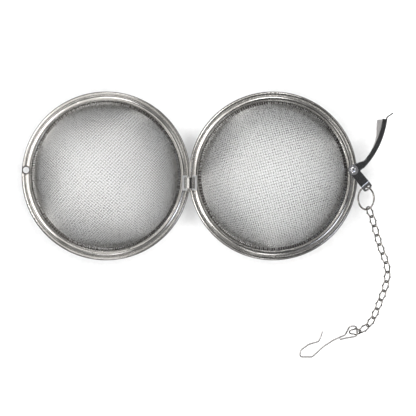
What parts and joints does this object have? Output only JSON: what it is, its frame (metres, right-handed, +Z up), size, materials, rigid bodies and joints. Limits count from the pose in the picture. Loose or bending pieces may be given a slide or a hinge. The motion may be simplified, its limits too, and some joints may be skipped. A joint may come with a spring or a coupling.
{
  "type": "tea infuser",
  "caption": "Two-part mesh ball tea infuser, opened flat, with a loop hinge, a swinging rim latch, a curb chain and a wire hook.",
  "frame": {"origin": "middle of the bounding box in plan, on the surface that the opened infuser lies on", "axes": "+Z up out of the domes, +X from the lid half towards the latch half, across the hinge"},
  "size_m": [0.1432, 0.1026, 0.0292],
  "materials": {
    "rim_steel": "stamped, satin with fine drawing marks",
    "mesh_wire": "fine plain-woven wire",
    "hinge_steel": "bright stamped strip",
    "latch_steel": "polished",
    "chain_wire": "polished wire",
    "hook_wire": "bright drawn wire"
  },
  "bodies": {
    "base": {"base_rim": "rim_steel", "base_mesh": "mesh_wire", "latch_rivet": "latch_steel"},
    "hinge_loop": {"hinge_loop": "hinge_steel"},
    "lid": {"lid_rim": "rim_steel", "lid_mesh": "mesh_wire"},
    "latch": {"latch_clip": "latch_steel"},
    "jump_ring": {"jump_ring": "chain_wire"},
    "chain_link_01": {"chain_link_01": "chain_wire"},
    "chain_link_02": {"chain_link_02": "chain_wire"},
    "chain_link_03": {"chain_link_03": "chain_wire"},
    "chain_link_04": {"chain_link_04": "chain_wire"},
    "chain_link_05": {"chain_link_05": "chain_wire"},
    "chain_link_06": {"chain_link_06": "chain_wire"},
    "chain_link_07": {"chain_link_07": "chain_wire"},
    "chain_link_08": {"chain_link_08": "chain_wire"},
    "chain_link_09": {"chain_link_09": "chain_wire"},
    "chain_link_10": {"chain_link_10": "chain_wire"},
    "chain_link_11": {"chain_link_11": "chain_wire"},
    "chain_link_12": {"chain_link_12": "chain_wire"},
    "chain_link_13": {"chain_link_13": "chain_wire"},
    "chain_link_14": {"chain_link_14": "chain_wire"},
    "chain_link_15": {"chain_link_15": "chain_wire"},
    "hook": {"hook": "hook_wire"}
  },
  "joints": [
    {"name": "loop_on_base", "type": "hinge", "parent": "base", "child": "hinge_loop", "pos_m": [-0.0064, 0.0161, 0.00275], "axis": [0, -1, 0], "range_deg": [0, 90]},
    {"name": "lid_fold", "type": "hinge", "parent": "hinge_loop", "child": "lid", "pos_m": [-0.0075, 0.0161, 0.00275], "axis": [0, -1, 0], "range_deg": [0, 90]},
    {"name": "latch_swing", "type": "hinge", "parent": "base", "child": "latch", "pos_m": [0.05602, 0.02106, 0.0039], "axis": [0, 0, 1], "range_deg": [-5, 54.4]},
    {"name": "ring_swing", "type": "hinge", "parent": "latch", "child": "jump_ring", "pos_m": [0.0616, 0.01436, 0.00175], "axis": [-0.9707, 0.2395, 0.0181], "range_deg": [-25, 20]},
    {"name": "link_01_turn", "type": "hinge", "parent": "jump_ring", "child": "chain_link_01", "pos_m": [0.06207, 0.00612, 0.00112], "axis": [0.9004, 0.4338, 0.0328], "range_deg": [-20, 20]},
    {"name": "link_02_turn", "type": "hinge", "parent": "chain_link_01", "child": "chain_link_02", "pos_m": [0.06333, 0.00314, 0.00112], "axis": [0, 0, 1], "range_deg": [-15, 15]},
    {"name": "link_03_turn", "type": "hinge", "parent": "chain_link_02", "child": "chain_link_03", "pos_m": [0.0643, -0.00046, 0.00112], "axis": [0.9659, 0.2588, 0], "range_deg": [-20, 20]},
    {"name": "link_04_turn", "type": "hinge", "parent": "chain_link_03", "child": "chain_link_04", "pos_m": [0.06526, -0.00405, 0.00112], "axis": [0, 0, -1], "range_deg": [-15, 15]},
    {"name": "link_05_turn", "type": "hinge", "parent": "chain_link_04", "child": "chain_link_05", "pos_m": [0.06629, -0.00763, 0.00112], "axis": [-0.9397, -0.342, 0], "range_deg": [-20, 20]},
    {"name": "link_06_turn", "type": "hinge", "parent": "chain_link_05", "child": "chain_link_06", "pos_m": [0.06756, -0.01112, 0.00112], "axis": [0, 0, 1], "range_deg": [-15, 15]},
    {"name": "link_07_turn", "type": "hinge", "parent": "chain_link_06", "child": "chain_link_07", "pos_m": [0.06889, -0.01459, 0.00112], "axis": [0.9877, 0.1564, 0], "range_deg": [-20, 20]},
    {"name": "link_08_turn", "type": "hinge", "parent": "chain_link_07", "child": "chain_link_08", "pos_m": [0.06947, -0.01827, 0.00112], "axis": [0, 0, -1], "range_deg": [-15, 15]},
    {"name": "link_09_turn", "type": "hinge", "parent": "chain_link_08", "child": "chain_link_09", "pos_m": [0.06902, -0.02196, 0.00112], "axis": [-0.9659, 0.2588, 0], "range_deg": [-20, 20]},
    {"name": "link_10_turn", "type": "hinge", "parent": "chain_link_09", "child": "chain_link_10", "pos_m": [0.06806, -0.02555, 0.00112], "axis": [0, 0, 1], "range_deg": [-15, 15]},
    {"name": "link_11_turn", "type": "hinge", "parent": "chain_link_10", "child": "chain_link_11", "pos_m": [0.06666, -0.029, 0.00112], "axis": [0.9336, -0.3584, 0], "range_deg": [-20, 20]},
    {"name": "link_12_turn", "type": "hinge", "parent": "chain_link_11", "child": "chain_link_12", "pos_m": [0.06533, -0.03248, 0.00112], "axis": [0, 0, -1], "range_deg": [-15, 15]},
    {"name": "link_13_turn", "type": "hinge", "parent": "chain_link_12", "child": "chain_link_13", "pos_m": [0.06394, -0.03592, 0.00112], "axis": [-0.8192, 0.5736, 0], "range_deg": [-20, 20]},
    {"name": "link_14_turn", "type": "hinge", "parent": "chain_link_13", "child": "chain_link_14", "pos_m": [0.0618, -0.03897, 0.00112], "axis": [0, 0, 1], "range_deg": [-15, 15]},
    {"name": "link_15_turn", "type": "hinge", "parent": "chain_link_14", "child": "chain_link_15", "pos_m": [0.05876, -0.04111, 0.00112], "axis": [0.0698, -0.9976, 0], "range_deg": [-15, 15]},
    {"name": "hook_turn", "type": "hinge", "parent": "chain_link_15", "child": "hook", "pos_m": [0.05759, -0.04122, 0.00112], "axis": [-0.0992, 0.8627, 0.4958], "range_deg": [-15, 15]}
  ]
}
